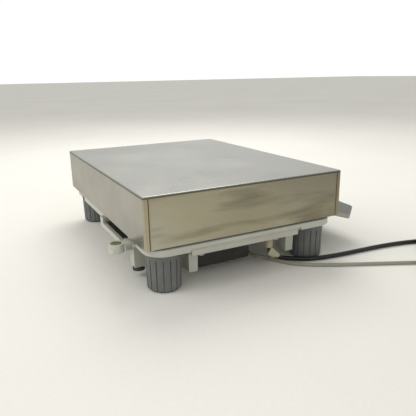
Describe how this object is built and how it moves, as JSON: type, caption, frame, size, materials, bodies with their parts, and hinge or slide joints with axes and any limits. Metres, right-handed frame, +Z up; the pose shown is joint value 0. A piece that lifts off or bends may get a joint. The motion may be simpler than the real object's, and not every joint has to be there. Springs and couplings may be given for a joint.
{
  "type": "animal weighing scale",
  "caption": "Bench platform scale: a lift-off steel load pan on a load cell in a cast base, with levelling feet and a keyed display console.",
  "frame": {"origin": "on the floor, under the middle of the scale's own box, cords left out", "axes": "+Z up; the operator stands at -Y, where the console is; X along the long side of the load pan"},
  "size_m": [0.6137, 0.5563, 0.1315],
  "materials": {
    "pan_steel": "satin stainless sheet, lightly worn",
    "cell_aluminium": "milled and anodised",
    "zinc_plate": "zinc-plated sheet",
    "screw_steel": "zinc-plated",
    "support_casting": "as cast",
    "black_rubber": "matt",
    "base_enamel": "warm light grey stove enamel",
    "bush_brass": "turned",
    "tray_plastic": "black moulded plastic",
    "board_laminate": "green laminate",
    "transformer_core": "varnished laminations",
    "socket_plastic": "dark moulded sockets",
    "vial_body": "dark olive",
    "vial_glass": "tinted level window",
    "console_dark": "grey textured plastic",
    "console_light": "light warm grey plastic",
    "window_glass": "smoked window",
    "key_green": "muted green key",
    "key_grey": "light grey key",
    "gland_nylon": "beige nylon",
    "mains_cord": "black flexible cord",
    "data_cord": "grey sheathed cable",
    "plug_shell": "nickel-plated shell",
    "clip_nylon": "cream nylon",
    "foot_plastic": "mid grey moulded grip"
  },
  "bodies": {
    "base": {"load_cell": "cell_aluminium", "cell_lower_bolts": "screw_steel", "overload_stops": "screw_steel", "stop_lock_nuts": "screw_steel", "base_casting": "base_enamel", "bottom_cover": "zinc_plate", "cover_screws": "screw_steel", "foot_bushes": "bush_brass", "tilt_bumper": "black_rubber", "electronics_tray": "tray_plastic", "tray_screws": "screw_steel", "circuit_board": "board_laminate", "board_standoffs": "bush_brass", "power_transformer": "transformer_core", "connector_panel": "tray_plastic", "panel_sockets": "socket_plastic", "level_vial": "vial_body", "level_window": "vial_glass", "console_upper_shell": "console_dark", "console_lower_shell": "console_light", "display_window": "window_glass", "display_module": "tray_plastic", "keypad_board": "board_laminate", "console_screws": "screw_steel", "shelf_screws": "screw_steel", "bracket_screws": "screw_steel", "console_bracket": "zinc_plate", "power_gland": "gland_nylon", "power_cord": "mains_cord", "power_cord_coil": "mains_cord", "power_plug": "mains_cord", "power_plug_pins": "bush_brass", "data_gland": "tray_plastic", "data_cable": "data_cord", "data_cable_coil": "data_cord", "data_plug": "data_cord", "data_plug_shell": "plug_shell", "cord_clip": "clip_nylon"},
    "platform": {"pan_support": "support_casting", "cell_upper_plate": "zinc_plate", "cell_upper_bolts": "screw_steel", "pan_buffers": "black_rubber"},
    "pan": {"load_pan": "pan_steel"},
    "power_key_cap": {"power_key": "key_green"},
    "zero_key_cap": {"zero_key": "key_grey"},
    "tare_key_cap": {"tare_key": "key_grey"},
    "hold_key_cap": {"hold_key": "key_grey"},
    "print_key_cap": {"print_key": "key_grey"},
    "sole_rear_left": {"foot_sole_rear_left": "black_rubber"},
    "knob_rear_left": {"foot_knob_rear_left": "foot_plastic", "foot_stud_rear_left": "screw_steel"},
    "sole_rear_right": {"foot_sole_rear_right": "black_rubber"},
    "knob_rear_right": {"foot_knob_rear_right": "foot_plastic", "foot_stud_rear_right": "screw_steel"},
    "sole_front_left": {"foot_sole_front_left": "black_rubber"},
    "knob_front_left": {"foot_knob_front_left": "foot_plastic", "foot_stud_front_left": "screw_steel"},
    "sole_front_right": {"foot_sole_front_right": "black_rubber"},
    "knob_front_right": {"foot_knob_front_right": "foot_plastic", "foot_stud_front_right": "screw_steel"}
  },
  "joints": [
    {"name": "weigh_travel", "type": "slide", "parent": "base", "child": "platform", "axis": [0, 0, -1], "range_m": [0, 0.0005], "stiffness_N_per_m": 250000, "deforming": ["load_cell"]},
    {"name": "pan_lift", "type": "slide", "parent": "platform", "child": "pan", "axis": [0, 0, 1], "range_m": [0, 0.1]},
    {"name": "power_key_press", "type": "slide", "parent": "base", "child": "power_key_cap", "axis": [0, 0.3985, -0.9172], "range_m": [0, 0.001], "stiffness_N_per_m": 1500, "springref_m": -0.0005},
    {"name": "zero_key_press", "type": "slide", "parent": "base", "child": "zero_key_cap", "axis": [0, 0.3985, -0.9172], "range_m": [0, 0.001], "stiffness_N_per_m": 1500, "springref_m": -0.0005},
    {"name": "tare_key_press", "type": "slide", "parent": "base", "child": "tare_key_cap", "axis": [0, 0.3985, -0.9172], "range_m": [0, 0.001], "stiffness_N_per_m": 1500, "springref_m": -0.0005},
    {"name": "hold_key_press", "type": "slide", "parent": "base", "child": "hold_key_cap", "axis": [0, 0.3985, -0.9172], "range_m": [0, 0.001], "stiffness_N_per_m": 1500, "springref_m": -0.0005},
    {"name": "print_key_press", "type": "slide", "parent": "base", "child": "print_key_cap", "axis": [0, 0.3985, -0.9172], "range_m": [0, 0.001], "stiffness_N_per_m": 1500, "springref_m": -0.0005},
    {"name": "level_rear_left", "type": "slide", "parent": "base", "child": "sole_rear_left", "axis": [0, 0, -1], "range_m": [0, 0.0075]},
    {"name": "turn_rear_left", "type": "hinge", "parent": "sole_rear_left", "child": "knob_rear_left", "pos_m": [-0.17, 0.1417, 0.003], "axis": [0, 0, -1], "range_deg": [0, 1800]},
    {"name": "level_rear_right", "type": "slide", "parent": "base", "child": "sole_rear_right", "axis": [0, 0, -1], "range_m": [0, 0.0075]},
    {"name": "turn_rear_right", "type": "hinge", "parent": "sole_rear_right", "child": "knob_rear_right", "pos_m": [0.17, 0.1417, 0.003], "axis": [0, 0, -1], "range_deg": [0, 1800]},
    {"name": "level_front_left", "type": "slide", "parent": "base", "child": "sole_front_left", "axis": [0, 0, -1], "range_m": [0, 0.0075]},
    {"name": "turn_front_left", "type": "hinge", "parent": "sole_front_left", "child": "knob_front_left", "pos_m": [-0.17, -0.0893, 0.003], "axis": [0, 0, -1], "range_deg": [0, 1800]},
    {"name": "level_front_right", "type": "slide", "parent": "base", "child": "sole_front_right", "axis": [0, 0, -1], "range_m": [0, 0.0075]},
    {"name": "turn_front_right", "type": "hinge", "parent": "sole_front_right", "child": "knob_front_right", "pos_m": [0.17, -0.0893, 0.003], "axis": [0, 0, -1], "range_deg": [0, 1800]}
  ],
  "couplings": [
    {"joint": "turn_rear_left", "follows": "level_rear_left", "rad_per_m": 4188.8},
    {"joint": "turn_rear_right", "follows": "level_rear_right", "rad_per_m": 4188.8},
    {"joint": "turn_front_left", "follows": "level_front_left", "rad_per_m": 4188.8},
    {"joint": "turn_front_right", "follows": "level_front_right", "rad_per_m": 4188.8}
  ]
}
